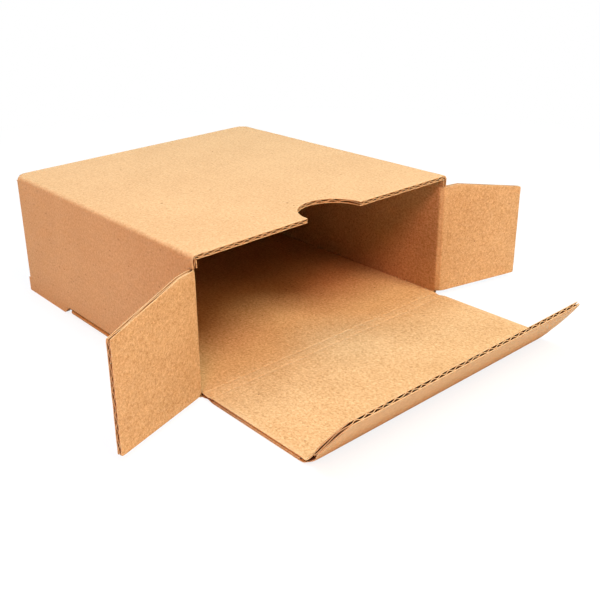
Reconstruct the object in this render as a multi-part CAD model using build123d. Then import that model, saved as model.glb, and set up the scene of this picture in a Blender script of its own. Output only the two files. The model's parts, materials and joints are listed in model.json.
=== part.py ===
from build123d import *
from math import cos, radians, sin, tan
import os

# Corrugated board, one waved paper between two flat liners
board = 3.0
liner = 0.42
waved_paper = 0.34
flute_pitch = 6.5
flute_crest = 0.5
flute_flank = 0.5
crushed_length = 7.0

# Outside of the folded carton
carton_width = 200.0
carton_depth = 202.0
carton_height = 84.0
fold_radius = 2.4
fold_inside_radius = 0.5

# Pressed creases that the loose flaps swing on
crease_bead_radius = 0.9
crease_gap = 0.35
crease_panel_angle = 45.0
crease_flap_angle = 37.0
crease_outer_angle = 70.0
tuck_crease_panel_angle = 27.0
tuck_crease_flap_angle = 21.0
closing_clearance = 0.5

# Dust flaps
dust_flap_length = 65.5
dust_flap_foot = 0.4
dust_flap_setback = 1.4
dust_flap_shoulder = 13.0
dust_flap_taper = 10.4
dust_flap_corner_radius = 1.0
left_flap_open_angle = 72.5
right_flap_open_angle = 77.5

# Lids and tuck flaps
lid_side_clearance = 0.5
tuck_length = 38.0
tuck_fold_angle = 53.0
tuck_pass_clearance = 1.3
front_tuck_play = 0.7
rear_tuck_play = 2.6
tuck_neck_inset = 2.6
tuck_neck_length = 5.5
tuck_ear_length = 12.0
tuck_tip_inset = 5.0

# Thumb notches
thumb_notch_radius = 21.0

# Glued seam along the lower left edge
glue_tab_height = 26.0
glue_tab_taper = 14.0
glue_tab_end_gap = 4.5
seam_slot_length = 151.0
seam_slot_height = 5.5
seam_slot_slant = 6.6

# Overrun of every cut past the face it leaves
overrun = 12.0

# Places worked out from the sizes
half_board = board / 2
half_width = carton_width / 2
front_edge = -carton_depth / 2
rear_edge = carton_depth / 2
front_flap_line = front_edge + dust_flap_setback
rear_flap_line = rear_edge - dust_flap_setback
lid_step = board + closing_clearance
front_lid_line = front_flap_line - lid_step
rear_lid_line = rear_flap_line + lid_step
seat_height = board + dust_flap_foot
inside_top = carton_height - board
lid_width = carton_width - 2 * board - 2 * lid_side_clearance
front_lid_length = carton_height - 2 * board - front_tuck_play
rear_lid_length = carton_height - 2 * board - rear_tuck_play
bead_seat_radius = crease_bead_radius + crease_gap
panel_taper = half_board / tan(radians(crease_panel_angle))
tab_rear = rear_lid_line - tuck_length - glue_tab_end_gap


def taper_length(angle):
    """Length over which a face slopes from the middle of the board to its surface."""
    return half_board / tan(radians(angle))


def panel_crease_end(reach, inner, outer):
    """Section of a fixed panel that ends in a pressed bead on the crease line."""
    taper = Polygon(
        (0, 0),
        (-taper_length(outer), half_board),
        (-reach, half_board),
        (-reach, -half_board),
        (-taper_length(inner), -half_board),
        align=None,
    )
    return taper + Circle(crease_bead_radius)


def flap_crease_start(length, inner, outer):
    """Section of a loose flap from its socket round the bead to its far end."""
    inner_apex = crease_gap / sin(radians(inner))
    outer_apex = crease_gap / sin(radians(outer))
    body = Polygon(
        (outer_apex, 0),
        (inner_apex, 0),
        (inner_apex + taper_length(inner), -half_board),
        (length, -half_board),
        (length, half_board),
        (outer_apex + taper_length(outer), half_board),
        align=None,
    )
    return body - Circle(bead_seat_radius)


def swept(section, low, high):
    """Section across the board, carried along the crease from low to high."""
    return extrude(Plane.YZ.offset(low) * section, high - low, dir=(1, 0, 0))


def outline_cut(outline):
    """Flat outline of a flap, thick enough to trim its section."""
    return extrude(outline, overrun, both=True)


def flute_hollow():
    """Hollow between a liner and one wave of the waved paper."""
    low = liner - half_board
    high = half_board - liner - waved_paper
    lean = (flute_pitch / 2 - 2 * flute_crest - flute_flank) / (2 * high)
    foot = flute_crest + lean * (high - low)
    return Polygon(
        (-foot, low), (foot, low), (flute_crest, high), (-flute_crest, high), align=None
    )


def along_flutes(section, near, far):
    """Section of hollows carried along the flutes, which run along the local Y axis."""
    start = Plane((0, near, 0), x_dir=(1, 0, 0), z_dir=(0, -1, 0))
    return extrude(start * section, far - near, dir=(0, 1, 0))


def flutes(width, near, far):
    """Hollows on both sides of the waved paper across a field of board."""
    under = flute_hollow()
    over = mirror(under, Plane.XZ)
    room = width - 2 * liner - under.bounding_box().size.X
    waves = int(room / flute_pitch)
    section = Sketch() + [spot * under for spot in GridLocations(flute_pitch, 0, waves + 1, 1)]
    section += [spot * over for spot in GridLocations(flute_pitch, 0, waves, 1)]
    return along_flutes(section, near, far)


def dust_flap_outline(top_drop):
    """Outline of a dust flap: height along X, length from the crease along Y."""
    top = carton_height - top_drop
    corners = Polygon(
        (seat_height, 0),
        (top, 0),
        (top, dust_flap_shoulder),
        (top - dust_flap_taper, dust_flap_length),
        (seat_height, dust_flap_length),
        align=None,
    )
    return fillet(corners.vertices().group_by(Axis.Y)[-1], dust_flap_corner_radius)


def tuck_outline():
    """Outline of a tuck flap with a neck, an ear and a rounded tip at each end."""
    half = lid_width / 2
    neck = half - tuck_neck_inset
    tip = half - tuck_tip_inset
    side = [
        Line((half, 0), (neck, tuck_neck_length / 2)),
        Spline(
            (neck, tuck_neck_length / 2),
            (half, tuck_ear_length),
            tangents=((0, 1), (0, 1)),
        ),
        Spline(
            (half, tuck_ear_length),
            (tip, tuck_length),
            tangents=((0, 1), (-1, 1)),
        ),
    ]
    right = Curve() + side
    left = mirror(right, Plane.YZ)
    ends = [Line((-half, 0), (half, 0)), Line((-tip, tuck_length), (tip, tuck_length))]
    return make_face(Curve() + [right, left] + ends)


def dust_flap_flutes(top_drop):
    """Hollows that open at the far end and along the sloped edge of a dust flap."""
    top = carton_height - top_drop
    hollows = flutes(top - seat_height, crushed_length, dust_flap_length + overrun)
    return Pos((seat_height + top) / 2, 0) * hollows


front_drop = 2 * board + front_tuck_play + tuck_pass_clearance
rear_drop = 2 * board + rear_tuck_play + tuck_pass_clearance
flap_root_top = carton_height - front_drop


def dust_flap():
    """Loose dust flap, its crease on the local X axis and its length along Y."""
    section = flap_crease_start(dust_flap_length, crease_flap_angle, crease_flap_angle)
    flap = swept(section, 0, carton_height) & outline_cut(dust_flap_outline(front_drop))
    return flap - dust_flap_flutes(front_drop)


def lid(length):
    """Lid from its own crease to the bead that its tuck flap swings on."""
    near = flap_crease_start(length / 2, crease_flap_angle, crease_outer_angle)
    far = panel_crease_end(length / 2 + board, tuck_crease_panel_angle, crease_outer_angle)
    section = near + Pos(length, 0) * far
    panel = swept(section, -lid_width / 2, lid_width / 2)
    opened = Sketch() + [Pos(side * lid_width / 2, 0) * flute_hollow() for side in (-1, 1)]
    return panel - along_flutes(opened, crushed_length, length - crushed_length)


def tuck_flap():
    """Tuck flap with its crease on the local X axis and its length along Y."""
    section = flap_crease_start(tuck_length, tuck_crease_flap_angle, crease_outer_angle)
    reach = lid_width / 2 + overrun
    flap = swept(section, -reach, reach) & outline_cut(tuck_outline())
    free_edge = lid_width - 2 * tuck_tip_inset
    return flap - flutes(free_edge, crushed_length, tuck_length + overrun)


def tube_section():
    """Section of the folded tube with the glue tab standing inside the left panel."""
    middle = carton_height / 2
    left = -half_width
    outside = Pos(0, middle) * RectangleRounded(carton_width, carton_height, fold_radius)
    corner = Pos(left, 0) * Rectangle(fold_radius, fold_radius, align=Align.MIN)
    inside = Pos(0, middle) * RectangleRounded(
        carton_width - 2 * board, carton_height - 2 * board, fold_inside_radius
    )
    tab = Pos(left + board, half_board) * Rectangle(
        board, glue_tab_height - half_board, align=Align.MIN
    )
    seam = Pos(left + board, 0) * Rectangle(fold_radius, fold_radius, align=Align.MIN)
    tab_fold = Pos(left + board + fold_radius, fold_radius) * Circle(fold_radius)
    return outside + corner - inside + tab - (seam - tab_fold)


def block(low, high):
    """Plain block between two opposite corners."""
    size = [b - a for a, b in zip(low, high)]
    return Pos(*low) * Box(*size, align=Align.MIN)


def side_cut(points, low, high):
    """Prism with its outline given along Y and Z, from low to high along X."""
    face = Plane.YZ.offset(low) * Polygon(*points, align=None)
    return extrude(face, high - low, dir=(1, 0, 0))


def tube():
    """Four panels and the glue tab, each trimmed at its own front and rear edge."""
    far_front = front_lid_line - overrun
    far_rear = rear_lid_line + overrun
    start = Plane((0, far_front, 0), x_dir=(1, 0, 0), z_dir=(0, -1, 0))
    body = extrude(start * tube_section(), far_rear - far_front, dir=(0, 1, 0))
    wide = half_width + overrun
    side_front = front_flap_line + panel_taper
    side_rear = rear_flap_line + half_board - board - fold_radius
    bottom_front = front_lid_line + panel_taper
    top_rear = rear_lid_line - panel_taper
    body -= block((-wide, far_front, inside_top), (wide, front_edge, carton_height + overrun))
    body -= block((-wide, top_rear, inside_top), (wide, far_rear, carton_height + overrun))
    body -= block((-wide, far_front, -overrun), (wide, bottom_front, board))
    body -= block((-wide, rear_edge, -overrun), (wide, far_rear, board))
    tongue = flap_root_top + closing_clearance
    body -= block((-wide, far_front, board), (wide, side_front, tongue))
    body -= block((-wide, far_front, board), (wide, front_edge, inside_top))
    body -= block((-wide, side_rear, board), (wide, far_rear, inside_top))
    seam_side = -half_width + board
    for low, high in ((-wide, -lid_width / 2), (lid_width / 2, wide)):
        body -= block((low, far_front, -overrun), (high, side_front, board))
    tab_front = front_flap_line + glue_tab_end_gap
    tab_top = glue_tab_height + overrun
    slope = glue_tab_taper / (glue_tab_height - board)
    rise = tab_top - board
    front_taper = ((far_front, board), (tab_front, board), (tab_front + slope * rise, tab_top),
                   (far_front, tab_top))
    rear_taper = ((far_rear, board), (tab_rear, board), (tab_rear - slope * rise, tab_top),
                  (far_rear, tab_top))
    body -= side_cut(front_taper, seam_side, seam_side + board)
    body -= side_cut(rear_taper, seam_side, seam_side + board)
    slot_end = front_edge + seam_slot_length
    lean = seam_slot_slant / seam_slot_height
    slot = ((far_front, -overrun), (slot_end + lean * overrun, -overrun),
            (slot_end - seam_slot_slant, seam_slot_height), (far_front, seam_slot_height))
    body -= side_cut(slot, -wide, seam_side)
    return body


def hinge_lips():
    """Beaded edges of the panels that carry the loose flaps and the two lids."""
    reach = 2 * board
    root_foot = {-1: seam_slot_height, 1: seat_height}
    flap_end = panel_crease_end(reach, crease_panel_angle, crease_panel_angle)
    lid_end = panel_crease_end(reach, crease_panel_angle, crease_outer_angle)
    lips = []
    for side in (-1, 1):
        hinge = Plane(
            (side * (half_width - half_board), front_flap_line, 0),
            x_dir=(0, 0, 1),
            z_dir=(1, 0, 0),
        )
        lips.append(hinge.location * swept(flap_end, root_foot[side], flap_root_top))
    across = lid_width / 2
    lip = swept(lid_end, -across, across)
    front = Plane((0, front_lid_line, half_board), x_dir=(1, 0, 0), z_dir=(0, 0, -1))
    rear = Plane((0, rear_lid_line, carton_height - half_board), x_dir=(1, 0, 0))
    return lips + [front.location * lip, rear.location * lip]


def rear_dust_flaps():
    """Rear dust flaps, folded shut in one piece with the side panels."""
    fold = fold_radius + board
    turn = rear_flap_line + half_board
    outline = dust_flap_outline(rear_drop)
    flaps = []
    for side in (-1, 1):
        outer = side * half_width
        inner = side * (half_width - board)
        plan = Polygon(
            (outer, turn - fold - board),
            (outer, turn),
            (outer - side * (half_board + dust_flap_length), turn),
            (outer - side * (half_board + dust_flap_length), turn - board),
            (inner, turn - board),
            (inner, turn - fold - board),
            align=None,
        )
        bend = plan.vertices().sort_by_distance((outer, turn))[0]
        plan = fillet(bend, fold_radius)
        upright = Plane(
            (side * (half_width - half_board), 0, carton_height),
            x_dir=(0, 0, -1),
            z_dir=(0, side, 0),
        )
        flat = upright * outline
        face = extrude(flat, carton_depth, both=True)
        strip = block(
            (min(outer, inner), turn - fold - board, seat_height),
            (max(outer, inner), turn, carton_height - seat_height),
        )
        keep = face + strip
        flaps.append(extrude(plan, carton_height, dir=(0, 0, 1)) & keep)
    return flaps


def sleeve_flutes():
    """Hollows that open at the bare edges of the top, the bottom, the tab and the rear flaps."""
    flat = carton_width - 2 * fold_radius
    top = flutes(flat, front_edge - overrun, rear_lid_line - crushed_length)
    bottom = flutes(flat - board, front_lid_line + crushed_length, rear_edge + overrun)
    tab = flutes(glue_tab_height - board, front_edge - overrun, tab_rear + overrun)
    stand = Plane(
        (-half_width + board + half_board, 0, (glue_tab_height + board) / 2),
        x_dir=(0, 0, -1),
        z_dir=(1, 0, 0),
    )
    hollows = [
        Pos(0, 0, carton_height - half_board) * top,
        Pos(half_board, 0, half_board) * bottom,
        stand.location * tab,
    ]
    for side in (-1, 1):
        upright = Plane(
            (side * (half_width - half_board), rear_flap_line, carton_height),
            x_dir=(0, 0, -1),
            z_dir=(0, side, 0),
        )
        hollows.append(upright.location * dust_flap_flutes(rear_drop))
    return hollows


def sleeve():
    """Tube, hinge lips and shut rear flaps as one folded and glued piece."""
    body = tube()
    for lip in hinge_lips():
        body += lip
    for flap in rear_dust_flaps():
        body += flap
    body -= Pos(0, front_edge, carton_height) * Cylinder(thumb_notch_radius, 2 * board)
    body -= Pos(0, rear_edge, 0) * Cylinder(thumb_notch_radius, 2 * board)
    return body - sleeve_flutes()


def placed_dust_flap(side, open_angle):
    """Front dust flap swung out from straight ahead by its open angle."""
    turn = radians(open_angle)
    along = (side * sin(turn), -cos(turn))
    hinge = Plane(
        (side * (half_width - half_board), front_flap_line, 0),
        x_dir=(0, 0, 1),
        z_dir=(-along[1], along[0], 0),
    )
    return hinge.location * dust_flap()


def placed_front_lid():
    """Front lid lying flat in line with the bottom panel."""
    hinge = Plane((0, front_lid_line, half_board), x_dir=(1, 0, 0), z_dir=(0, 0, -1))
    return hinge.location * lid(front_lid_length)


def placed_front_tuck():
    """Front tuck flap folded up from the flat lid by its fold angle."""
    fold = radians(tuck_fold_angle)
    hinge = Plane(
        (0, front_lid_line - front_lid_length, half_board),
        x_dir=(1, 0, 0),
        z_dir=(0, -sin(fold), -cos(fold)),
    )
    return hinge.location * tuck_flap()


def placed_rear_lid():
    """Rear lid hanging shut from the rear edge of the top panel."""
    hinge = Plane(
        (0, rear_lid_line, carton_height - half_board), x_dir=(1, 0, 0), z_dir=(0, 1, 0)
    )
    return hinge.location * lid(rear_lid_length)


def placed_rear_tuck():
    """Rear tuck flap pushed into the carton above the bottom panel."""
    hinge = Plane(
        (0, rear_lid_line, carton_height - half_board - rear_lid_length),
        x_dir=(1, 0, 0),
        z_dir=(0, 0, -1),
    )
    return hinge.location * tuck_flap()


pieces = {
    "sleeve": sleeve(),
    "left_dust_flap": placed_dust_flap(-1, left_flap_open_angle),
    "right_dust_flap": placed_dust_flap(1, right_flap_open_angle),
    "lid": placed_front_lid(),
    "tuck_flap": placed_front_tuck(),
    "rear_lid": placed_rear_lid(),
    "rear_tuck_flap": placed_rear_tuck(),
}

os.makedirs("parts", exist_ok=True)
for name, piece in pieces.items():
    export_step(piece, f"parts/{name}.step")
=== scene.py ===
# %% [markdown]
# # A tuck-end carton of fluted board
# The carton is one sheet of corrugated board: an outer paper liner, a waved middle
# paper and an inner liner, cut flat, folded to a tube and glued along one seam.
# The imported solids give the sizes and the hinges, so they are loaded first, and
# everything made below is set in the same frame, in metres.

# %% Load the fixed frame
import json
import math

import bmesh
import bpy
from mathutils import Matrix, Vector
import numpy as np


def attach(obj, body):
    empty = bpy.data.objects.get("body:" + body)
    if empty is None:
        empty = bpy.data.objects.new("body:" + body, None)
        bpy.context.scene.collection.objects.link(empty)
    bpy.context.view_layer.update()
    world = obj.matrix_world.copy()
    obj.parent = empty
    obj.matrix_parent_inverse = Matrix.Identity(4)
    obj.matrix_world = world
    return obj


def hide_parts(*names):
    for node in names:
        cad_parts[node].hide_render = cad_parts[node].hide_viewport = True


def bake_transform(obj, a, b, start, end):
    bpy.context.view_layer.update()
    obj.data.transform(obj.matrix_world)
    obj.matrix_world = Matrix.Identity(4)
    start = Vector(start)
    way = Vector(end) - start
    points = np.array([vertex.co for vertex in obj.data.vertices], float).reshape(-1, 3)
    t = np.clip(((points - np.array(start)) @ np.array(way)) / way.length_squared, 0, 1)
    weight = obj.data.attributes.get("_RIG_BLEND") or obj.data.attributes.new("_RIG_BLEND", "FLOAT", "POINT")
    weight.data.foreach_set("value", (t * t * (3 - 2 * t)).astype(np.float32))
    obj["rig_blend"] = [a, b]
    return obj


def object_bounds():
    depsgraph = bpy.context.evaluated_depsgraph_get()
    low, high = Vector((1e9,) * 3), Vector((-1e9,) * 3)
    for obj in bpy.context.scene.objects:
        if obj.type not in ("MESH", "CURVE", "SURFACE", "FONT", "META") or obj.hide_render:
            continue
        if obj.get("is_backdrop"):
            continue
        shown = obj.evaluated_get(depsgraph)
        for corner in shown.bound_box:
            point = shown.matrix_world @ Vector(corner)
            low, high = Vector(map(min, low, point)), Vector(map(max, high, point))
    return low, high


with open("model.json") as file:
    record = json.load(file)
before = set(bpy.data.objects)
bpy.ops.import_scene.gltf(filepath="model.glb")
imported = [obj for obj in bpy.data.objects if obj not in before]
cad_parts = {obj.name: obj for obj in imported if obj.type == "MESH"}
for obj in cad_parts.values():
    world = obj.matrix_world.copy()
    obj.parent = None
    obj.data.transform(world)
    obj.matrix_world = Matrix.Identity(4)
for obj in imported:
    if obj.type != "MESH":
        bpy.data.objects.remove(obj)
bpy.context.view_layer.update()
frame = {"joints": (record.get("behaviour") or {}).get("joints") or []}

# %% [markdown]
# ## The sizes of the carton
# A folding carton is drawn in millimetres, so the sizes stay in millimetres and one
# factor turns them into metres. The hinge lines are read from the frame, because the
# creases of the board have to lie exactly on the hinges that the flaps swing on.

# %% Sizes and hinge lines
mm = 0.001
board = 3.0
half_board = board / 2
half_width = 100.0
height = 84.0
front_edge = -101.0
rear_edge = 101.0
lid_half = 96.5
hinges = {j["name"]: Vector(j["pos_m"]) / mm for j in frame["joints"]}
flap_line = hinges["left_flap_hinge"].y
lid_line = hinges["lid_hinge"].y
tuck_line = hinges["tuck_hinge"].y
rear_line = hinges["rear_lid_hinge"].y
rear_tuck_z = hinges["rear_tuck_hinge"].z
rear_flap_line = -flap_line
lid_length = lid_line - tuck_line
rear_lid_length = hinges["rear_lid_hinge"].z - rear_tuck_z
print("front lid", round(lid_length, 2), "mm, rear lid", round(rear_lid_length, 2), "mm")

# %% [markdown]
# ## One sheet of paper
# Every layer of the board is the same thing, a thin sheet with a cut outline. A grid
# gives its surface: the columns stand at chosen places across the flutes, and each
# column runs from one cut edge to the other. Extruding the whole grid gives the second
# side and the rim of the cut edge in one step. The sheet is first laid out flat and
# then every corner is carried to its folded place, as a carton is made. A value on
# every corner says how worn the paper is there, and another how far across the flutes
# it lies, for the finish to use. The knife that cuts the blank also pinches the board
# along a bare edge, so a sheet can draw in towards the middle there.

# %% A helper that cuts and folds one sheet
pinch_reach = 1.2
crisp_angle = math.radians(40)


def bare(u):
    """A cut edge that stands free all along."""
    return 1.0


def joined(u):
    """An edge where the board goes on all along."""
    return 0.0


def corner_values(bm, name):
    """Layer with one value on each corner, made when it is first asked for."""
    layers = bm.verts.layers.float
    return layers.get(name) or layers.new(name)


def faces_at(verts):
    """Faces that meet at the corners, each once and in the same order every time."""
    return list(dict.fromkeys(f for v in verts for f in v.link_faces))


def sheet(bm, columns, rows, start, end, place, faces_w, finish, free, pinch=0.0):
    """Thin closed sheet between two offsets from the middle of the board."""
    wear = corner_values(bm, "wear")
    across = corner_values(bm, "across")
    along = corner_values(bm, "along")
    n, m = len(columns) - 1, len(rows) - 1
    grid = bmesh.ops.create_grid(bm, x_segments=n, y_segments=m, size=0.5)["verts"]
    first_cut, last_cut, low_cut, high_cut = free
    for v in grid:
        i, j = round((v.co.x + 0.5) * n), round((v.co.y + 0.5) * m)
        u = columns[i]
        first, last = start(u), end(u)
        v[across] = u
        v[along] = first + rows[j] * (last - first)
        at_side = (i == 0 and low_cut) or (i == n and high_cut)
        at_end = (j == 0) * first_cut(u) + (j == m) * last_cut(u)
        v[wear] = max(at_end, 1.0 if at_side else 0.0)
    made = bmesh.ops.extrude_face_region(bm, geom=faces_at(grid), use_keep_orig=True)["geom"]
    second = [g for g in made if isinstance(g, bmesh.types.BMVert)]
    for side, verts in zip(faces_w, (grid, second)):
        for v in verts:
            u, reach = v[across], v[along]
            drawn = first_cut(u) * math.exp((start(u) - reach) / pinch_reach)
            drawn += last_cut(u) * math.exp((reach - end(u)) / pinch_reach)
            v.co = place(u, reach, side(u, reach) * (1 - pinch * drawn)) * mm
    shell = faces_at(grid + second)
    for f in shell:
        f.material_index = finish
        f.smooth = True
    bmesh.ops.recalc_face_normals(bm, faces=shell)
    for e in {e for f in shell for e in f.edges}:
        e.smooth = e.calc_face_angle(0.0) < crisp_angle


def spaced(low, high, step):
    """Evenly spaced places from low to high, about one step apart."""
    count = max(1, round((high - low) / step))
    return [low + (high - low) * i / count for i in range(count + 1)]


print("sheet helper ready")

# %% [markdown]
# ## The three papers of the board
# The liners are flat and the middle paper runs in waves between them. A cosine gives
# the wave its rounded crests. Real flutes are a little crushed and shifted here and
# there, so a slow ripple changes the height and the place of the wave from flute to
# flute. The knife never cuts quite straight either, which a small wander gives.

# %% Liners and flutes
liner = 0.5
medium = 0.6
flute_pitch = 6.5
crest = half_board - liner - medium / 2
wave_drift, wave_jitter = 0.75, 0.30
wave_mean, wave_change = 0.86, 0.14
cut_wander, cut_fray = 0.16, 0.10
OUTER, INNER, FLUTES = 0, 1, 2


def ripple(u):
    """Slow uneven change from flute to flute, between about -1 and 1."""
    return 0.6 * math.sin(0.83 * u + 1.3) + 0.4 * math.sin(2.17 * u)


def flute_wave(u):
    """Height of the middle paper above the middle of the board."""
    shift = wave_drift * ripple(u / 3) + wave_jitter * ripple(u / 1.3)
    tall = crest * (wave_mean + wave_change * ripple(u))
    return tall * math.cos(2 * math.pi * (u + shift) / flute_pitch)


def ragged(u):
    """Small unevenness of a die-cut edge across the flutes."""
    wander = cut_wander * math.sin(1.9 * u) * math.sin(0.61 * u + 0.7)
    return wander + cut_fray * math.sin(7.3 * u)


outer_faces = (lambda u, v: half_board, lambda u, v: half_board - liner)
inner_faces = (lambda u, v: -half_board, lambda u, v: liner - half_board)
flute_faces = (
    lambda u, v: flute_wave(u) + medium / 2,
    lambda u, v: flute_wave(u) - medium / 2,
)
print("flute crest", round(crest, 2), "mm above the middle of the board")

# %% [markdown]
# ## A field of board
# A panel, a lid or a flap is a field of board with all three papers. The liners need
# few columns, but the waved paper needs a dozen to a flute to look round. The rows lie
# close together near the cut edges, where the board is pinched and worn.

# %% A helper that lays the three papers together
liner_step = 4.0
flute_step = flute_pitch / 12
edge_pinch = 0.12
end_rows = [0, 0.008, 0.02, 0.06, 0.2, 0.4, 0.6, 0.705, 0.72, 0.8, 0.94, 0.98, 0.992, 1]
all_bare = (bare, bare, 1, 1)


def board_layers(bm, low, high, start, end, place, extra=(), free=all_bare, pinch=edge_pinch):
    """The two liners and the waved paper of one flat field of board."""
    liner_columns = sorted(set(spaced(low, high, liner_step)) | set(extra))
    flute_columns = sorted(set(spaced(low, high, flute_step)) | set(extra))
    for columns, faces, finish in (
        (liner_columns, outer_faces, OUTER),
        (liner_columns, inner_faces, INNER),
        (flute_columns, flute_faces, FLUTES),
    ):
        sheet(bm, columns, end_rows, start, end, place, faces, finish, free, pinch)


print("waved paper in steps of", round(flute_step, 2), "mm")

# %% [markdown]
# ## Finishing a piece
# Each piece becomes an object at the origin with the three papers as its material
# slots. Where it stands for a solid, it takes that solid's place.

# %% A helper that turns a mesh into a piece
finishes = [bpy.data.materials.new(n) for n in ("outer_liner", "inner_liner", "fluting")]


def piece(name, bm, *nodes):
    """Object from a mesh, standing for the solids named."""
    mesh = bpy.data.meshes.new(name)
    bm.to_mesh(mesh)
    bm.free()
    for m in finishes:
        mesh.materials.append(m)
    made = bpy.data.objects.new(name, mesh)
    bpy.context.scene.collection.objects.link(made)
    if nodes:
        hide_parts(*nodes)
    print(name, len(mesh.polygons), "faces")
    return made


print("papers", [m.name for m in finishes])

# %% [markdown]
# ## The folded tube
# The four panels and the glue tab are one strip of board that goes once round the
# carton. Its middle line is a path of straight runs and quarter turns, so a point of
# the flat strip is placed by walking along that path and stepping off to the side.
# Bending the whole strip this way keeps the paper unbroken round the folds, which four
# separate plates would not.

# %% The path round the tube
fold = 0.9
tab_top = 26.0
tab_x = -half_width + board + half_board
side_x = half_width - half_board
roof_z = height - half_board
runs = [
    ("tab", (tab_x, tab_top), (tab_x, half_board + fold)),
    ("tab_fold", (tab_x + fold, half_board + fold), 180.0),
    ("bottom", (tab_x + fold, half_board), (side_x - fold, half_board)),
    ("right_bottom_fold", (side_x - fold, half_board + fold), 270.0),
    ("right", (side_x, half_board + fold), (side_x, roof_z - fold)),
    ("right_top_fold", (side_x - fold, roof_z - fold), 0.0),
    ("top", (side_x - fold, roof_z), (fold - side_x, roof_z)),
    ("left_top_fold", (fold - side_x, roof_z - fold), 90.0),
    ("left", (-side_x, roof_z - fold), (-side_x, 0.0)),
]
roof_runs = ("top", "right_top_fold", "left_top_fold")
floor_runs = ("bottom", "tab", "tab_fold", "right_bottom_fold")
stretch = {}
walked = 0.0
for name, a, b in runs:
    length = math.dist(a, b) if isinstance(b, tuple) else fold * math.pi / 2
    stretch[name] = (walked, walked + length)
    walked += length
print("strip of board", round(walked, 1), "mm round")


def run_at(u):
    """Name of the run at a place on the strip, its point, its outward step and its share."""
    for name, a, b in runs:
        low, high = stretch[name]
        if u <= high + 1e-6:
            break
    t = (u - low) / (high - low)
    if isinstance(b, tuple):
        x, z = a[0] + t * (b[0] - a[0]), a[1] + t * (b[1] - a[1])
        dx, dz = (b[0] - a[0]) / (high - low), (b[1] - a[1]) / (high - low)
        return name, x, z, dz, -dx, t
    turn = math.radians(b + 90 * t)
    nx, nz = math.cos(turn), math.sin(turn)
    return name, a[0] + fold * nx, a[1] + fold * nz, nx, nz, t


# %% [markdown]
# ## Board that isn't quite flat
# Real panels bow a little, and a fold is never perfectly even. The bow dies out towards
# the creases, so that the flaps still meet the panels there. Along the glued seam the
# left panel stops short of the table and leaves a slot. Nothing holds the bottom fold
# in there, so it swells out into the slot.

# %% Bowed panels and the swollen fold
bow = {"top": 0.5, "right": -0.4, "left": 0.3, "bottom": 0.0}
bow_mean, bow_change = 0.55, 0.45
bow_ease = 40.0
crease_reach = 5.0
fold_inside = 0.2
fold_wobble, fold_sink = 0.10, 0.08
slot_end = 50.0
slot_slant = 6.6
bead = 2.3
bead_rise, bead_run = 0.65, 8.0


def bead_at(name, x, z, y):
    """How far the bottom fold swells out into the seam slot that leaves it free."""
    if name not in ("tab", "tab_fold", "bottom") or y > slot_end - slot_slant:
        return 0.0
    above = max(0.0, z - half_board - fold) / bead_rise
    inward = max(0.0, x - tab_x - fold) / bead_run
    return bead * math.exp(-(above**2) - inward**2)


def on_tube(u, y, w):
    """Folded place of a point of the strip, bowed a little like real board."""
    name, x, z, nx, nz, t = run_at(u)
    if name.endswith("fold"):
        w = max(w, fold_inside - fold)
        w += fold_wobble * math.sin(0.29 * y) * math.sin(0.071 * y + 1.0) - fold_sink
    crown = math.sin(math.pi * t) ** 2
    lift = bow.get(name, 0.0) * crown * (bow_mean - bow_change * y / rear_edge)
    if name != "top":
        lift *= min(1.0, max(0.0, (y - flap_line - crease_reach) / bow_ease))
    swell = bead_at(name, x, z, y)
    return Vector((x + nx * (w + lift) - swell, y, z + nz * (w + lift)))


print("bottom fold swells by up to", bead, "mm")

# %% [markdown]
# ## Cut edges of the tube
# Each panel ends at its own line at the front and the back: at a crease where a flap
# goes on, at the bare front edge with its thumb notch, or at the slanted end of the
# seam slot. Giving every column of the sheet its own first and last place cuts all of
# these without any boolean.

# %% Front and rear line of every panel
notch_radius = 21.0
seat_z = 3.4
slot_z = 5.5
flap_top = 76.0
tongue_z = 76.5
rear_flap_low = 9.9
rear_flap_high = height - seat_z
tuck_length = 38.0
tab_gap = 4.5
tab_taper = 14.0
side_front = flap_line + half_board
tab_front = flap_line + tab_gap
tab_rear = rear_line - tuck_length - tab_gap
tab_slope = tab_taper / (tab_top - board)
rear_turn = rear_flap_line - fold


def notch(x):
    """Depth of a thumb notch at a place along the edge."""
    return math.sqrt(max(0.0, notch_radius**2 - x * x))


def tube_front(u):
    """Where the strip starts at its front end."""
    name, x, z, nx, nz, t = run_at(u)
    if name in roof_runs:
        return front_edge + notch(x) + ragged(u)
    if name in ("tab", "tab_fold"):
        return tab_front + tab_slope * (z - board) if z > board else side_front
    if name in ("bottom", "right_bottom_fold"):
        return lid_line + crease_reach if abs(x) <= lid_half else side_front
    if z > tongue_z:
        return front_edge
    if name == "left" and z < slot_z:
        return slot_end - slot_slant * z / slot_z
    return flap_line + crease_reach if seat_z <= z <= flap_top else side_front


def tube_rear(u):
    """Where the strip stops at its rear end."""
    name, x, z, nx, nz, t = run_at(u)
    if name in roof_runs:
        return rear_line - crease_reach
    if name == "tab" and z > board:
        return tab_rear - tab_slope * (z - board)
    if name in floor_runs:
        return rear_edge - notch(x) + ragged(u)
    return rear_turn if rear_flap_low <= z <= rear_flap_high else rear_edge


def bare_front(u):
    """The top alone stands free at the front."""
    return 1.0 if run_at(u)[0] in roof_runs else 0.0


def bare_rear(u):
    """The bottom and the tab alone stand free at the rear."""
    return 1.0 if run_at(u)[0] in floor_runs else 0.0


print("thumb notch", 2 * notch_radius, "mm wide")

# %% [markdown]
# ## Folding the tube
# An outline that jumps from one line to another needs two columns a hair apart at the
# jump, and a round notch or a fold needs several close together. With those added to
# the even columns, the whole strip is cut and folded in one go.

# %% Columns at the corners, and the tube
hair = 0.02
notch_steps = 24
fold_steps = 6
swell_levels = (2.5, 2.7, board, 3.3, 3.7, 4.2, 5.0)


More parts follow.
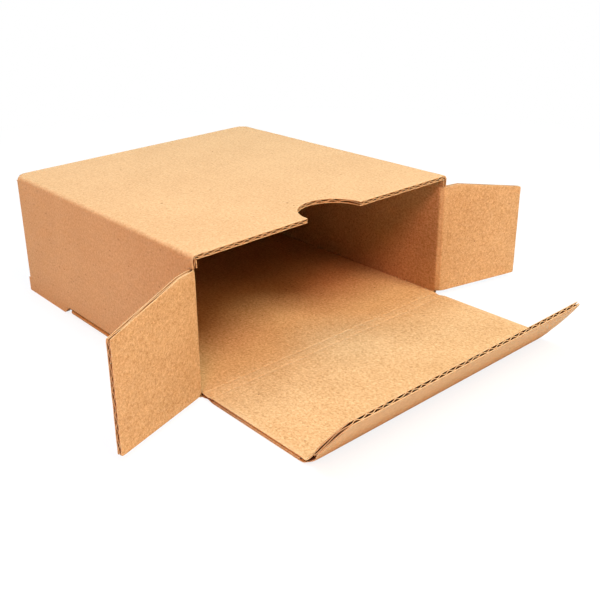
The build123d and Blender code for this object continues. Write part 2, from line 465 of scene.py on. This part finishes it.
def at_height(name, z):
    """Place on the strip at a height on an upright run."""
    low, high = stretch[name]
    a, b = next((a, b) for n, a, b in runs if n == name)
    return low + (high - low) * (z - a[1]) / (b[1] - a[1])


steps = []
for name, levels in (
    ("tab", swell_levels),
    ("right", (seat_z, rear_flap_low, flap_top, tongue_z, rear_flap_high)),
    ("left", (slot_z, rear_flap_low, flap_top, tongue_z, rear_flap_high)),
):
    for z in levels:
        u = at_height(name, z)
        steps += [u - hair, u + hair]
right_corner = stretch["bottom"][1] - (side_x - fold - lid_half)
steps += [right_corner - hair, right_corner + hair]
notch_turns = [math.pi * k / (2 * notch_steps) for k in range(-notch_steps, notch_steps + 1)]
for name, inward in (("bottom", -(tab_x + fold)), ("top", side_x - fold)):
    middle = stretch[name][0] + inward
    steps += [middle + notch_radius * math.sin(turn) for turn in notch_turns]
for name, (low, high) in stretch.items():
    if name.endswith("fold"):
        steps += spaced(low, high, (high - low) / fold_steps)
bm = bmesh.new()
strip_end = stretch["left"][1]
tube_free = (bare_front, bare_rear, 1, 1)
board_layers(bm, 0.0, strip_end, tube_front, tube_rear, on_tube, steps, tube_free)
print("tube cut and folded,", len(bm.faces), "faces")

# %% [markdown]
# ## A crease
# A crease is a pressed line where the board bends. Its two fields of board are straight
# and the paper between them turns through an arc that touches both, so a place ahead of
# the crease line is carried round that arc. Bending by a formula suits a crease better
# than a bevel, because the same formula places the flap that lies beyond it.

# %% A helper that bends board at a crease
straight = 1e-6


def bend(origin, onward, outward, across, degrees, tangent):
    """Placing rule for board that runs onward to a crease and turns there."""
    angle = math.radians(degrees)
    turn, toward = abs(angle), math.copysign(1.0, angle)
    radius = tangent / math.tan(turn / 2) if turn > straight else 0.0
    arc = radius * turn if turn > straight else 2 * tangent
    e, n, c = Vector(onward), Vector(outward), Vector(across)
    first = Vector(origin) - e * tangent

    def place(u, v, w):
        if v <= -tangent:
            a, base = 0.0, Vector(origin) + e * v
        else:
            t = min(1.0, (v + tangent) / (2 * tangent))
            a = turn * t
            if turn > straight:
                base = first + radius * (math.sin(a) * e + toward * (1 - math.cos(a)) * n)
            else:
                base = first + arc * t * e
            if v > tangent:
                base = base + (v - tangent) * (math.cos(a) * e + toward * math.sin(a) * n)
        normal = math.cos(a) * n - toward * math.sin(a) * e
        return base + normal * w + c * u

    return place


print("crease helper ready")

# %% [markdown]
# ## The rear dust flaps
# The two flaps at the shut end are folded in behind the rear lid, with no crease play,
# so they belong to the tube. They are the side panels carried on round a tight fold.

# %% Rear dust flaps
flap_length = 65.5
flap_shoulder = 13.0
flap_taper = 10.4
flap_corner = 1.0
tip_ease = 0.6
flap_rag = 0.5
flap_free = (joined, bare, 1, 1)


def flap_end(low, high):
    """Far cut of a dust flap whose top slopes down from a shoulder."""
    tip = high - flap_taper

    def corner(d):
        if d >= flap_corner:
            return 0.0
        return flap_corner - math.sqrt(max(0.0, flap_corner**2 - (flap_corner - d) ** 2))

    def end(u):
        if u > tip:
            return flap_shoulder + (flap_length - flap_shoulder) * (high - u) / flap_taper
        return flap_length - corner(u - low) - corner(tip - u) * tip_ease + flap_rag * ragged(u)

    return end


def flap_columns(low, high):
    """Extra columns at the corners of a dust flap."""
    tip = high - flap_taper
    near = [0.08, 0.2, 0.4, 0.65, 1.0]
    return [low + d for d in near] + [tip - d for d in near] + [tip, tip + hair]


rear_low, rear_high = seat_z, height - rear_flap_low
for side in (-1, 1):
    corner_line = (side * side_x, rear_flap_line, height)
    place = bend(corner_line, (0, 1, 0), (side, 0, 0), (0, 0, -1), -90.0, fold)
    far_cut = flap_end(rear_low, rear_high)
    extra = flap_columns(rear_low, rear_high)
    board_layers(bm, rear_low, rear_high, lambda u: -fold, far_cut, place, extra, flap_free)
tube = piece("sleeve_board", bm, "sleeve")
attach(tube, "carton")

# %% [markdown]
# ## Creases that move
# A crease between two bodies has to bend with the hinge. It is its own narrow piece of
# board, made at its bent rest shape, and its corners turn between the two bodies as the
# hinge turns. The paper is pressed thinner along the crease line.

# %% A helper for a moving crease
press_width = 0.7
crush_width = 2.5
rub_width = 0.9
crease_pinch = 0.6
crease_step = 0.25
end_wear, band_wear, line_wear = 0.6, 0.22, 0.6
crease_rows = [0, 0.01, 0.03, 0.1, 0.2, 0.3, 0.4, 0.5, 0.6, 0.7, 0.8, 0.9, 0.97, 0.99, 1]


def near_lines(v, lines, width):
    """How near a place is to the crease lines, 1 on a line."""
    return sum(math.exp(-(((v - a) / width) ** 2)) for a in lines)


def pressed(side, depth, lines):
    """Offset of a face that is pressed in along the crease lines."""
    return lambda v, u: side(u, v) * (1 - depth * near_lines(v, lines, press_width))


def crushed(v):
    """How far the ends of a crease are crushed shut."""
    return math.exp(-((v / crush_width) ** 2))


def crease(name, place, low, high, bodies, tangent, lines=(0.0,), band=(-1.0, 1.0), depth=(0.10, 0.16)):
    """Narrow piece of board that bends between two bodies."""
    bm = bmesh.new()
    columns = spaced(-crease_reach, crease_reach, crease_step)
    ends = (crushed, crushed, 0, 0)

    def swapped(v, u, w):
        return place(u, v, w)

    layers = ((outer_faces, OUTER, depth[0]), (inner_faces, INNER, depth[1]))
    for faces, finish, press in layers:
        thinned = tuple(pressed(f, press, lines) for f in faces)
        sheet(bm, columns, crease_rows, low, high, swapped, thinned, finish, ends, crease_pinch)
    wear = corner_values(bm, "wear")
    across = corner_values(bm, "across")
    along = corner_values(bm, "along")
    for v in bm.verts:
        past_low = min(1.0, max(0.0, v[across] - band[0]))
        within = past_low * min(1.0, max(0.0, band[1] - v[across]))
        rubbed = near_lines(v[across], lines, rub_width)
        v[wear] = max(v[wear] * end_wear, band_wear * within, line_wear * rubbed)
        v[across] = v[along]
    made = piece(name, bm)
    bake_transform(made, *bodies, start=place(0, -tangent, 0) * mm, end=place(0, tangent, 0) * mm)


print("moving crease", 2 * crease_reach, "mm wide")

# %% [markdown]
# ## The front dust flaps
# A dust flap hangs on the front edge of a side panel and is swung outwards. Its far edge
# cuts across the flutes, and its sloped top edge cuts them at a slant, which opens them
# into long slits.

# %% Front dust flaps
open_angles = {"left": 72.5, "right": 77.5}
flap_tangent = 2.0
for side, word in ((-1, "left"), (1, "right")):
    hinge = (side * side_x, flap_line, 0)
    place = bend(hinge, (0, -1, 0), (side, 0, 0), (0, 0, 1), open_angles[word], flap_tangent)
    far_cut = flap_end(seat_z, flap_top)
    extra = flap_columns(seat_z, flap_top)
    bm = bmesh.new()
    board_layers(bm, seat_z, flap_top, lambda u: crease_reach, far_cut, place, extra, flap_free)
    made = piece(f"{word}_dust_flap_board", bm, f"{word}_dust_flap")
    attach(made, f"{word}_flap")
    foot = slot_z if side < 0 else seat_z
    crease(
        f"{word}_dust_flap_crease", place, lambda v: foot if v < 0 else seat_z, lambda v: flap_top,
        ("carton", f"{word}_flap"), flap_tangent, band=(0.4, crease_reach),
    )

# %% [markdown]
# ## The two lids
# A lid is a plain field of board between two creases. Its sides run along the flutes, so
# there the knife lays one flute open from end to end.

# %% Lids and their creases
lid_tangent = 3.0
rear_tangent = 2.0
lid_score = 3.4
lid_band = 3.6
lid_free = (joined, joined, 1, 1)
front_hinge = (0, lid_line, half_board)
rear_hinge = (0, rear_line, roof_z)
front_crease = bend(front_hinge, (0, -1, 0), (0, 0, -1), (1, 0, 0), 0.0, lid_tangent)
rear_crease = bend(rear_hinge, (0, 1, 0), (0, 0, 1), (1, 0, 0), -90.0, rear_tangent)
lids = (
    ("lid", front_crease, lid_length, "front_lid", lid_tangent),
    ("rear_lid", rear_crease, rear_lid_length, "back_lid", rear_tangent),
)
for word, place, length, body, tangent in lids:
    bm = bmesh.new()
    board_layers(
        bm, -lid_half, lid_half, lambda u: crease_reach, lambda u: length - crease_reach, place,
        free=lid_free,
    )
    made = piece(f"{word}_board", bm, word)
    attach(made, body)
    crease(
        f"{word}_crease", place, lambda v: -lid_half, lambda v: lid_half, ("carton", body), tangent,
        lines=(-lid_score, lid_score), band=(-lid_band, lid_band), depth=(0.06, 0.16),
    )

# %% [markdown]
# ## The outline of a tuck flap
# A tuck flap is narrower than its lid just past the crease, widens to an ear and then
# runs in to a shorter free edge, so that it slips in easily and holds by its ears. The
# outline is written as a half width at each distance from the crease. The sheet needs
# it the other way round, and halving an interval again and again finds that.

# %% Outline of a tuck flap
neck_inset = 2.6
tip_inset = 5.0
neck_half = lid_half - neck_inset
tip_half = lid_half - tip_inset
neck_low, ear = 2.75, 12.0
halvings = 40


def tuck_half(v):
    """Half the width of a tuck flap at a distance from its crease."""
    if v <= 0:
        return lid_half
    if v < neck_low:
        return lid_half + (neck_half - lid_half) * v / neck_low
    if v < ear:
        t = (v - neck_low) / (ear - neck_low)
        return neck_half + (lid_half - neck_half) * t * t * (3 - 2 * t)
    return lid_half - (lid_half - tip_half) * ((v - ear) / (tuck_length - ear)) ** 3


def reached(u, low, high):
    """Distance from the crease at which the outline passes a place, by halving."""
    rising = tuck_half(high) > tuck_half(low)
    for _ in range(halvings):
        middle = (low + high) / 2
        if (tuck_half(middle) < abs(u)) == rising:
            low = middle
        else:
            high = middle
    return low


def tuck_start(u):
    """Where a tuck flap starts, at its crease or at the curve of its ear."""
    return crease_reach if abs(u) <= tuck_half(crease_reach) else reached(u, crease_reach, ear)


def tuck_end(u):
    """Where a tuck flap stops, at its free edge or at the curve beside it."""
    return tuck_length + ragged(u) if abs(u) <= tip_half else reached(u, ear, tuck_length)


def ear_cut(u):
    """The ears alone stand free at the crease."""
    return 1.0 if abs(u) > tuck_half(crease_reach) else 0.0


print("tuck flap", 2 * tip_half, "mm along its free edge")

# %% [markdown]
# ## The two tuck flaps
# The front tuck flap is half folded up from its lid, and the rear one is folded square
# and pushed in. The free edge cuts straight across the flutes and shows them best, and
# the knife has pinched it more than the other edges.

# %% Tuck flaps and their creases
tuck_tangent = 3.0
tuck_angle = -53.0
tuck_pinch = 0.28
ear_step = 1.0
ear_columns = [s * tuck_half(v) for s in (-1, 1) for v in spaced(crease_reach, tuck_length, ear_step)]
front_tuck_hinge = (0, tuck_line, half_board)
rear_tuck_hinge = (0, rear_line, rear_tuck_z)
front_fold = bend(front_tuck_hinge, (0, -1, 0), (0, 0, -1), (1, 0, 0), tuck_angle, tuck_tangent)
rear_fold = bend(rear_tuck_hinge, (0, 0, -1), (0, 1, 0), (1, 0, 0), -90.0, rear_tangent)
tucks = (
    ("tuck_flap", front_fold, tuck_tangent, "front_lid", "front_tuck"),
    ("rear_tuck_flap", rear_fold, rear_tangent, "back_lid", "back_tuck"),
)
for word, place, tangent, lid_body, body in tucks:
    bm = bmesh.new()
    board_layers(
        bm, -lid_half + hair, lid_half - hair, tuck_start, tuck_end, place, ear_columns,
        (ear_cut, bare, 1, 1), tuck_pinch,
    )
    made = piece(f"{word}_board", bm, word)
    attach(made, body)
    crease(f"{word}_crease", place, lambda v: -tuck_half(v), tuck_half, (lid_body, body), tangent)

# %% [markdown]
# ## Building with shader nodes
# A material is a tree of nodes. A few helpers keep the trees readable: one adds a node
# and links or sets its inputs, and the others are the sums, ranges and colour mixes that
# come up again and again.

# %% Helpers for shader nodes
def node(tree, kind, inputs=None, **settings):
    """Node with its settings and inputs; a socket as an input makes a link."""
    made = tree.nodes.new(kind)
    for key, value in settings.items():
        setattr(made, key, value)
    for key, value in (inputs or {}).items():
        if isinstance(value, bpy.types.NodeSocket):
            tree.links.new(value, made.inputs[key])
        else:
            made.inputs[key].default_value = value
    return made


def maths(tree, operation, a, b=0.0, c=0.0):
    """Result of one sum on values."""
    return node(tree, "ShaderNodeMath", {0: a, 1: b, 2: c}, operation=operation).outputs[0]


def ramp(tree, value, low, high, to_low=0.0, to_high=1.0):
    """Value carried from one range to another and held at its ends."""
    made = node(tree, "ShaderNodeMapRange", {0: value, 1: low, 2: high, 3: to_low, 4: to_high})
    return made.outputs[0]


def mix(tree, factor, a, b):
    """Colour between two colours."""
    made = node(tree, "ShaderNodeMix", {0: factor, 6: a, 7: b}, data_type="RGBA")
    return made.outputs[2]


print("node helpers ready")

# %% [markdown]
# ## The kraft paper
# Kraft liner is matte brown paper with a cloudy tone, a fine grain of fibres and a few
# dark specks of bark. The liner ripples a little over the flutes behind it. Faint stripes
# give that ripple as a real bump, and as painted shade in the colour. Its cut edges are
# paler where the fibres stand up. One node group makes these, so that both liners and
# the middle paper share them with their own colours.

# %% Inputs and outputs of the paper group
paper = bpy.data.node_groups.new("kraft_paper", "ShaderNodeTree")
for label, kind, value in (
    ("Pale", "NodeSocketColor", (0.8, 0.5, 0.25, 1)),
    ("Deep", "NodeSocketColor", (0.7, 0.4, 0.2, 1)),
    ("Speck", "NodeSocketColor", (0.2, 0.1, 0.05, 1)),
    ("Edge", "NodeSocketColor", (0.9, 0.65, 0.4, 1)),
    ("Washboard shade and relief", "NodeSocketFloat", 0.03),
):
    socket = paper.interface.new_socket(label, in_out="INPUT", socket_type=kind)
    socket.default_value = value
for label, kind in (
    ("Color", "NodeSocketColor"),
    ("Roughness", "NodeSocketFloat"),
    ("Height", "NodeSocketFloat"),
):
    paper.interface.new_socket(label, in_out="OUTPUT", socket_type=kind)
given = node(paper, "NodeGroupInput").outputs
result = node(paper, "NodeGroupOutput")
print("paper group takes", [s.name for s in given if s.name])

# %% [markdown]
# ## Patterns in the paper
# Three noises of different scale give the cloud, the mottle and the grain, the last one
# drawn out along the flutes as fibres are. The specks are cells of a Voronoi pattern:
# only some cells get one, and its size differs from cell to cell. The wear and the
# place across the flutes come from the values that the sheets carry.

# %% Clouds, grain and specks
spot = node(paper, "ShaderNodeTexCoord").outputs["Object"]


def drawn_out(share):
    """Place on the paper, with the pattern drawn out along the flutes."""
    return node(paper, "ShaderNodeMapping", {"Vector": spot, "Scale": (1.0, share, 1.0)}).outputs[0]


def noise(at, scale, detail, roughness):
    """Uneven pattern between 0 and 1."""
    inputs = {"Vector": at, "Scale": scale, "Detail": detail, "Roughness": roughness}
    return node(paper, "ShaderNodeTexNoise", inputs).outputs[0]


def specks(at, scale, rarity, size):
    """Mask of specks of uneven size, in some of the cells only."""
    cells = node(paper, "ShaderNodeTexVoronoi", {"Vector": at, "Scale": scale, "Randomness": 1.0})
    pick = node(paper, "ShaderNodeSeparateColor", {0: cells.outputs["Color"]}).outputs[0]
    radius = ramp(paper, pick, rarity, 1.0, 0.0, size)
    return maths(paper, "LESS_THAN", cells.outputs["Distance"], radius)


cloud = noise(spot, 30.0, 3.0, 0.6)
mottle = noise(spot, 640.0, 4.0, 0.7)
grain = noise(drawn_out(0.45), 1500.0, 3.0, 0.7)
bark = specks(spot, 95.0, 0.6, 0.075)
dust = specks(drawn_out(0.6), 300.0, 0.62, 0.17)
speck = maths(paper, "MAXIMUM", bark, maths(paper, "MULTIPLY", dust, 0.5))
worn = node(paper, "ShaderNodeAttribute", attribute_name="wear").outputs["Fac"]
flute_at = node(paper, "ShaderNodeAttribute", attribute_name="across").outputs["Fac"]
wave = maths(paper, "COSINE", maths(paper, "MULTIPLY", flute_at, 2 * math.pi / flute_pitch))
print("patterns made,", len(paper.nodes), "nodes")

# %% [markdown]
# ## From patterns to paper
# The patterns are added by weight to one tone, which picks a colour between the deep and
# the pale one. The flute stripe in that tone is painted shade of the liner's ripple. The
# specks and the worn edges are laid over it. The grain and the mottle also give the height
# for the bump and a slight change of roughness, and the flute stripe adds a real bump.

# %% Colour, roughness and height
speck_cover, edge_cover = 0.75, 0.8
stripe_relief = 4.0


def weighted(*parts):
    """Sum of patterns, each with its weight."""
    scaled = [maths(paper, "MULTIPLY", pattern, weight) for pattern, weight in parts]
    total = scaled[0]
    for part in scaled[1:]:
        total = maths(paper, "ADD", total, part)
    return total


washboard_shade_and_relief = given["Washboard shade and relief"]
# The flute stripe in the tone is painted shade of the liner's ripple over the flutes; in the relief it is a
# real bump.
tone = weighted((cloud, 0.14), (mottle, 0.56), (grain, 0.50), (wave, washboard_shade_and_relief))
tint = mix(paper, ramp(paper, tone, 0.47, 0.73), given["Deep"], given["Pale"])
tint = mix(paper, maths(paper, "MULTIPLY", speck, speck_cover), tint, given["Speck"])
ragged_wear = maths(paper, "MULTIPLY", worn, ramp(paper, mottle, 0.3, 0.7, 0.35, 1.0))
tint = mix(paper, maths(paper, "MULTIPLY", ragged_wear, edge_cover), tint, given["Edge"])
stripe_height = maths(paper, "MULTIPLY", washboard_shade_and_relief, stripe_relief)
relief = weighted((grain, 0.6), (mottle, 0.5), (wave, stripe_height))
paper.links.new(tint, result.inputs["Color"])
paper.links.new(ramp(paper, grain, 0.3, 0.7, 0.82, 0.95), result.inputs["Roughness"])
paper.links.new(relief, result.inputs["Height"])
print("paper group", len(paper.nodes), "nodes")

# %% [markdown]
# ## Three papers from one group
# The liners are the same paper, and the inside of this carton is a touch warmer and more
# mottled. The waved paper is darker, and hardly any light reaches it between the liners,
# so it makes the dark dashes of a cut edge.

# %% Liner and fluting materials
tones = {
    # The last value weighs the flute stripe: painted shade in the colour, and a real bump.
    "outer_liner": ((0.56, 0.340, 0.168, 1), (0.39, 0.218, 0.095, 1), 0.006),
    "inner_liner": ((0.605, 0.370, 0.177, 1), (0.335, 0.175, 0.062, 1), 0.006),
    "fluting": ((0.40, 0.22, 0.095, 1), (0.26, 0.125, 0.045, 1), 0.0),
}
speck_colour = (0.13, 0.05, 0.016, 1)
edge_colour = (0.55, 0.35, 0.178, 1)
sheen = 0.2
bump_distance, bump_strength = 0.00012, 0.5
for material in finishes:
    pale, deep, stripe_share = tones[material.name]
    material.use_nodes = True
    tree = material.node_tree
    shader = tree.nodes["Principled BSDF"]
    shader.inputs["Specular IOR Level"].default_value = sheen
    colours = {"Pale": pale, "Deep": deep, "Speck": speck_colour, "Edge": edge_colour}
    kraft = node(tree, "ShaderNodeGroup", node_tree=paper)
    for key, value in {**colours, "Washboard shade and relief": stripe_share}.items():
        kraft.inputs[key].default_value = value
    bump_inputs = {"Height": kraft.outputs["Height"], "Distance": bump_distance, "Strength": bump_strength}
    bump = node(tree, "ShaderNodeBump", bump_inputs)
    tree.links.new(kraft.outputs["Color"], shader.inputs["Base Color"])
    tree.links.new(kraft.outputs["Roughness"], shader.inputs["Roughness"])
    tree.links.new(bump.outputs["Normal"], shader.inputs["Normal"])
    print(material.name, "finished")

# %% [markdown]
# ## The floor
# The carton lies on a white sweep. A lit white floor would come out grey in places, so
# to the camera the floor mostly glows white, and a little of the lit floor shows through
# near the carton, which keeps a faint shadow. All other light meets a plain matte floor.

# %% Floor
floor_half = 6.0
floor_drop = 0.0003
shadow_near, shadow_far = 0.2, 0.6
glow_near = 0.86
floor_mesh = bpy.data.meshes.new("floor")
bm = bmesh.new()
bmesh.ops.create_grid(bm, x_segments=1, y_segments=1, size=floor_half)
bmesh.ops.translate(bm, verts=bm.verts, vec=(0, 0, -floor_drop))
bm.to_mesh(floor_mesh)
bm.free()
floor = bpy.data.objects.new("floor", floor_mesh)
bpy.context.scene.collection.objects.link(floor)
floor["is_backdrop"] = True
white = bpy.data.materials.new("white_floor")
white.use_nodes = True
tree = white.node_tree
matte = tree.nodes["Principled BSDF"]
matte.inputs["Base Color"].default_value = (0.86, 0.86, 0.86, 1)
matte.inputs["Roughness"].default_value = 0.9
seen = node(tree, "ShaderNodeLightPath").outputs
glow = node(tree, "ShaderNodeEmission", {"Color": (1, 1, 1, 1), "Strength": 1.0}).outputs[0]
on_floor = node(tree, "ShaderNodeTexCoord").outputs["Object"]
distance = node(tree, "ShaderNodeVectorMath", {0: on_floor}, operation="LENGTH").outputs["Value"]
glowing = ramp(tree, distance, shadow_near, shadow_far, glow_near, 1.0)
to_eye = maths(tree, "MULTIPLY", seen["Is Camera Ray"], glowing)
both = node(tree, "ShaderNodeMixShader", {0: to_eye, 1: matte.outputs[0], 2: glow}).outputs[0]
tree.links.new(both, tree.nodes["Material Output"].inputs["Surface"])
floor_mesh.materials.append(white)
print("floor", 2 * floor_half, "m wide")

# %% [markdown]
# ## The lamps
# Seven soft round lamps light the carton: a broad one above, a key and a fill in front,
# and weaker ones at the left, the left corner, the back and the right. The picture is
# exposed high and each panel has its own cast, so the level and the tint of every lamp
# were fitted panel by panel. Together they are about twice as bright as a plain level,
# so the papers render lighter than their colours are written.

# %% Lamps
def soft_light(name, place, target, size, power, colour):
    """Round lamp that faces a target."""
    lamp = bpy.data.lights.new(name, "AREA")
    lamp.shape = "DISK"
    lamp.size = size
    lamp.energy = power
    lamp.color = colour
    made = bpy.data.objects.new(name, lamp)
    made.location = place
    made.rotation_mode = "QUATERNION"
    made.rotation_quaternion = (Vector(target) - Vector(place)).to_track_quat("-Z", "Y")
    bpy.context.scene.collection.objects.link(made)


lamps = (
    ("sky", (0.0, 0.10, 1.40), (0, -0.05, 0), 0.9, 22.5, (0.12, 0.59, 1.0)),
    ("key", (0.10, -0.70, 1.25), (0, -0.05, 0), 0.7, 17.8, (0.77, 0.98, 0.89)),
    ("front", (0.20, -0.95, 1.00), (0, -0.05, 0.03), 0.7, 9.8, (1.0, 0.54, 0.24)),
    ("side", (-0.85, 0.10, 0.98), (0, 0, 0.04), 0.6, 8.0, (1.0, 0.56, 0.19)),
    ("corner", (-0.66, -0.66, 0.90), (-0.05, -0.08, 0.04), 0.4, 7.8, (1.0, 0.38, 0.32)),
    ("back", (0.35, 1.25, 0.60), (0, 0.05, 0.04), 0.7, 3.4, (1.0, 0.74, 0.54)),
    ("right", (1.20, 0.15, 0.50), (0, 0, 0.04), 0.7, 4.2, (1.0, 0.56, 0.32)),
)
for lamp in lamps:
    soft_light(*lamp)
print(len(lamps), "lamps set")

# %% [markdown]
# ## The surroundings
# The camera, and any reflection, sees plain white behind the carton. As a light, the
# surroundings are nearly dark, so that the lamps shape the carton. Light Path tells the
# two apart.

# %% World
dim, full = 0.03, 1.0
world = bpy.data.worlds.new("studio")
bpy.context.scene.world = world
world.use_nodes = True
world_tree = world.node_tree
rays = node(world_tree, "ShaderNodeLightPath").outputs
mirrored = maths(world_tree, "MAXIMUM", rays["Is Glossy Ray"], rays["Is Transmission Ray"])
shown = maths(world_tree, "MAXIMUM", rays["Is Camera Ray"], mirrored)
backdrop = world_tree.nodes["Background"]
backdrop.inputs["Color"].default_value = (1, 1, 1, 1)
world_tree.links.new(ramp(world_tree, shown, 0.0, 1.0, dim, full), backdrop.inputs["Strength"])
bpy.context.scene.view_settings.view_transform = "Standard"
print("white surroundings, at", dim, "as a light")

# %% [markdown]
# ## The camera
# The camera stands in front of the left corner and looks down a little, with a slight
# roll. Its place and direction come from matching the corners of the carton, and the
# focal length was found in pixels of a picture 600 wide.

# %% Camera
camera_place = Vector((-322.61, -422.374, 238.517)) * mm
right = Vector((0.77659, -0.62911, -0.03347))
down = Vector((-0.26014, -0.27184, -0.92652))
ahead = Vector((0.57378, 0.72823, -0.37477))
focal_pixels = 842.359
picture_pixels = 600
camera_data = bpy.data.cameras.new("camera")
camera = bpy.data.objects.new("camera", camera_data)
bpy.context.scene.collection.objects.link(camera)
turned = Matrix((right, -down, -ahead)).transposed()
camera.matrix_world = Matrix.Translation(camera_place) @ turned.to_4x4()
camera_data.sensor_width = 36.0
camera_data.lens = focal_pixels / picture_pixels * camera_data.sensor_width
camera_data.shift_x = 0.1
camera_data.shift_y = -1 / 15
camera_data.clip_start = 0.01
bpy.context.scene.camera = camera
print("lens", round(camera_data.lens, 2), "mm")

# %% Print the sizes and finish
low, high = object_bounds()
print("dressed carton spans", [round(v, 4) for v in high - low])
